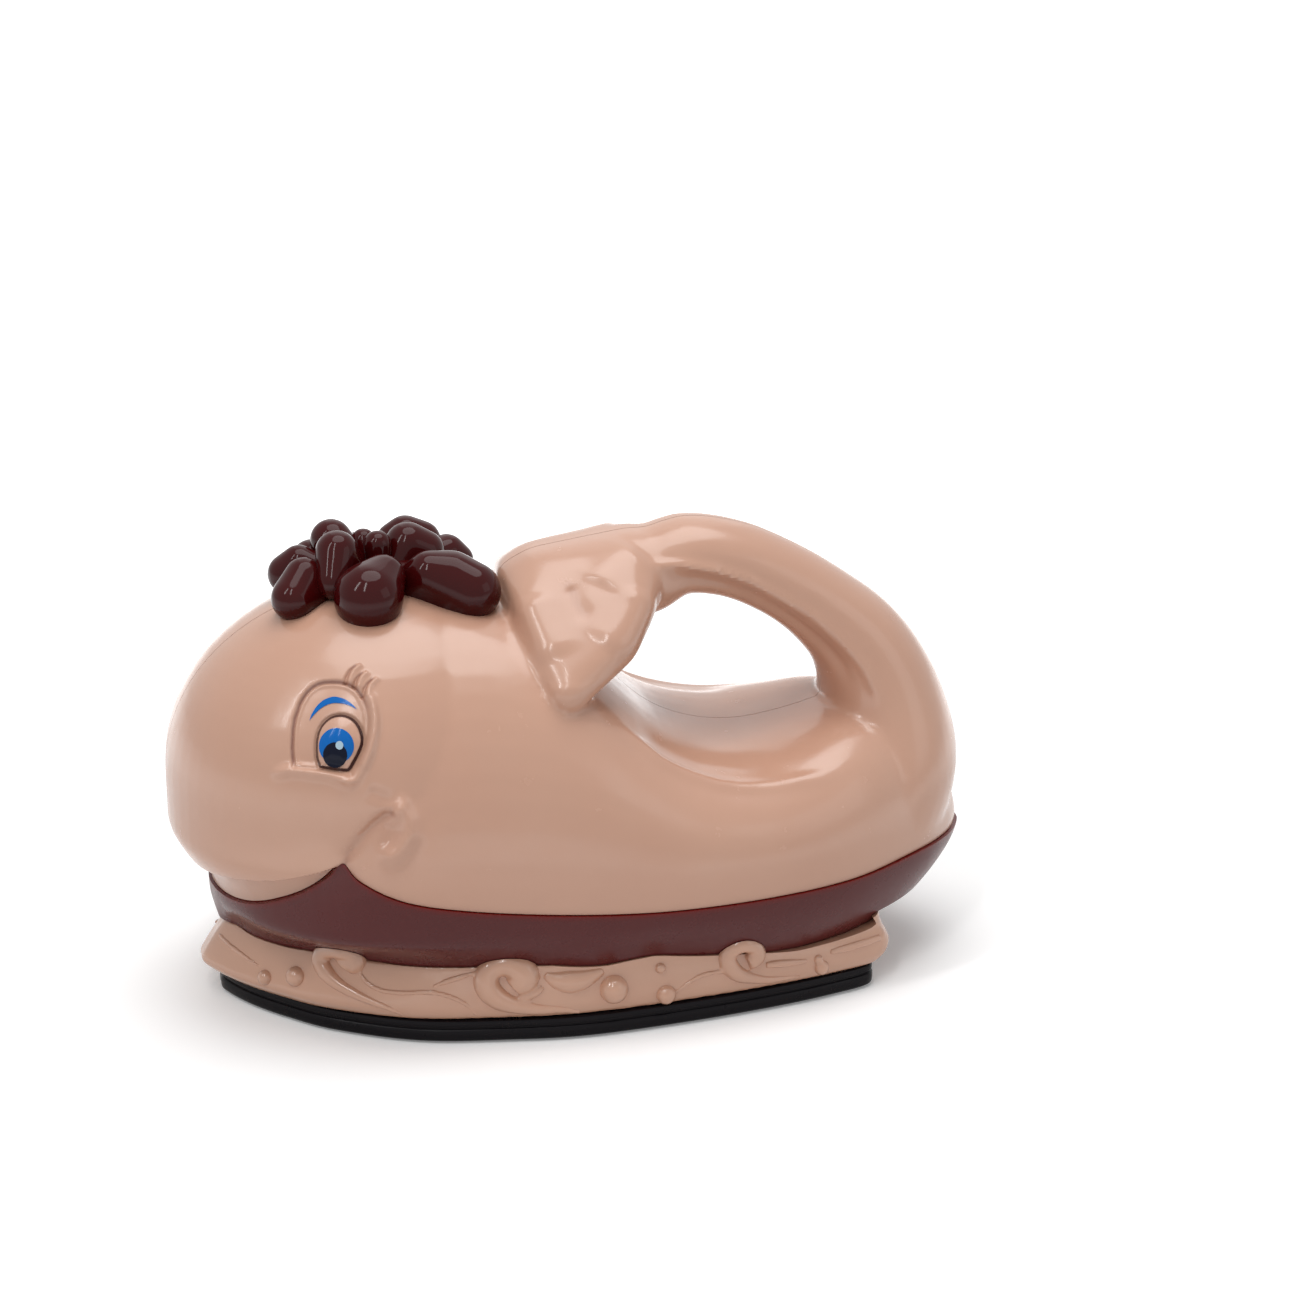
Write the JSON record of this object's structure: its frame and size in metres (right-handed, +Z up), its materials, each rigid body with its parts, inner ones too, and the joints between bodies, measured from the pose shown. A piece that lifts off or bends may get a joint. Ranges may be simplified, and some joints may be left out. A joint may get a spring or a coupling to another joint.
{
  "type": "toy iron",
  "caption": "Whale-shaped toy clothes iron: round head, tail arched forward as the handle, tinted belly band, wave base on a flat dark sole and a tuft of spout droplets.",
  "frame": {"origin": "centre of the bounding box at the underside of the sole", "axes": "+X from the whale's forehead to the back of its tail, +Y to the whale's right-hand side seen from behind its head, +Z up from the sole"},
  "size_m": [0.1828, 0.0926, 0.107],
  "materials": {
    "body_plastic": "glossy moulded rose plastic",
    "band_plastic": "tinted dark red translucent plastic",
    "base_plastic": "glossy moulded rose plastic",
    "sole_plastic": "dark semi-gloss plastic",
    "tuft_plastic": "tinted dark red translucent plastic",
    "eye_ink": "pad-printed blue and black ink under gloss lacquer",
    "door_plastic": "dark fine-textured plastic",
    "screw_steel": "zinc-plated steel",
    "cell_sleeve": "printed metal can",
    "spring_steel": "nickel-plated spring steel",
    "plate_steel": "nickel-plated sheet",
    "board_green": "solder-masked laminate",
    "chip_resin": "black resin blob",
    "speaker_metal": "painted steel basket with paper cone",
    "switch_body": "folded tin case",
    "knob_plastic": "white plastic",
    "lamp_resin": "clear resin",
    "wire_white": "soft insulation",
    "wire_red": "soft insulation",
    "wire_yellow": "soft insulation",
    "wire_green": "soft insulation"
  },
  "bodies": {
    "iron": {"left_body_shell": "body_plastic", "right_body_shell": "body_plastic", "belly_band": "band_plastic", "wave_base": "base_plastic", "soleplate": "sole_plastic", "spout_tuft": "tuft_plastic", "left_eye_print": "eye_ink", "right_eye_print": "eye_ink", "aa_cell_left": "cell_sleeve", "aa_cell_right": "cell_sleeve", "contact_springs": "spring_steel", "contact_plates": "plate_steel", "circuit_board": "board_green", "sound_chip": "chip_resin", "board_screws": "screw_steel", "speaker": "speaker_metal", "speaker_screws": "screw_steel", "slide_switch": "switch_body", "belly_lamps": "lamp_resin", "spout_lamp": "lamp_resin", "shell_screws": "screw_steel", "base_screws": "screw_steel", "sole_screws": "screw_steel", "battery_wires": "wire_red", "switch_wires": "wire_white", "speaker_wires": "wire_yellow", "spout_lamp_wires": "wire_green"},
    "battery_cover": {"battery_door": "door_plastic", "battery_door_screw": "screw_steel"},
    "power_switch": {"switch_knob": "knob_plastic"}
  },
  "joints": [
    {"name": "battery_cover_lift", "type": "slide", "parent": "iron", "child": "battery_cover", "axis": [0, 0, -1], "range_m": [0, 0.03]},
    {"name": "power_switch_slide", "type": "slide", "parent": "iron", "child": "power_switch", "axis": [0, 1, 0], "range_m": [0, 0.0035]}
  ]
}
